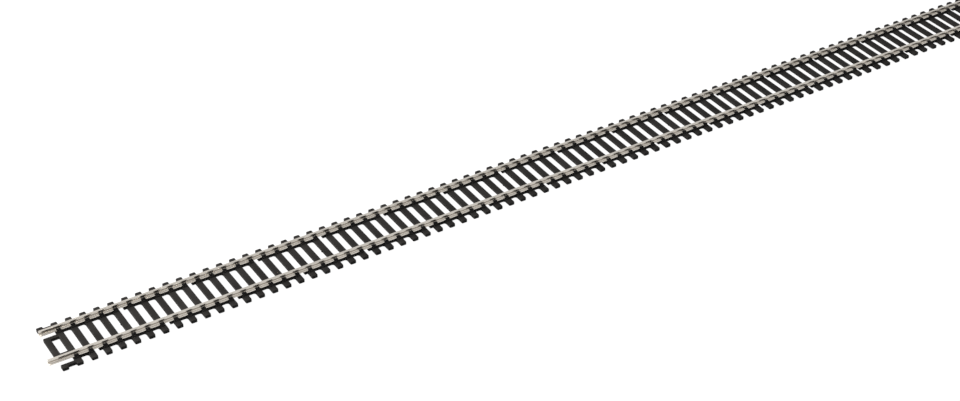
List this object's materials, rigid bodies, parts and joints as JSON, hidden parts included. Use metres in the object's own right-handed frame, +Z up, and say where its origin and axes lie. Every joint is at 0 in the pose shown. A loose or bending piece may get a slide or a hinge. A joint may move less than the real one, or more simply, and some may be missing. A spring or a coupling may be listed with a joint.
{
  "type": "model railway track section",
  "caption": "Straight semi-flexible two-rail model railway track: flat-bottomed metal rails that slide in a moulded plastic sleeper base.",
  "frame": {"origin": "on the surface that the sleepers stand on, under the middle of the overall length, on the centreline between the rails", "axes": "+X along the track, away from the end where the -Y rail stands out of the base; +Y across the track; +Z up, towards the running surface"},
  "size_m": [0.9736, 0.0274, 0.0037],
  "materials": {
    "sleeper_plastic": "moulded near-black brown, satin matt",
    "rail_metal": "drawn nickel silver, warm grey, polished running surface"
  },
  "bodies": {
    "sleeper_base": {"sleeper_base": "sleeper_plastic"},
    "near_rail": {"near_rail": "rail_metal"},
    "far_rail": {"far_rail": "rail_metal"}
  },
  "joints": [
    {"name": "near_rail_slide", "type": "slide", "parent": "sleeper_base", "child": "near_rail", "axis": [1, 0, 0], "range_m": [-0.0103, 0.0177]},
    {"name": "far_rail_slide", "type": "slide", "parent": "sleeper_base", "child": "far_rail", "axis": [1, 0, 0], "range_m": [-0.0135, 0.0145]}
  ]
}
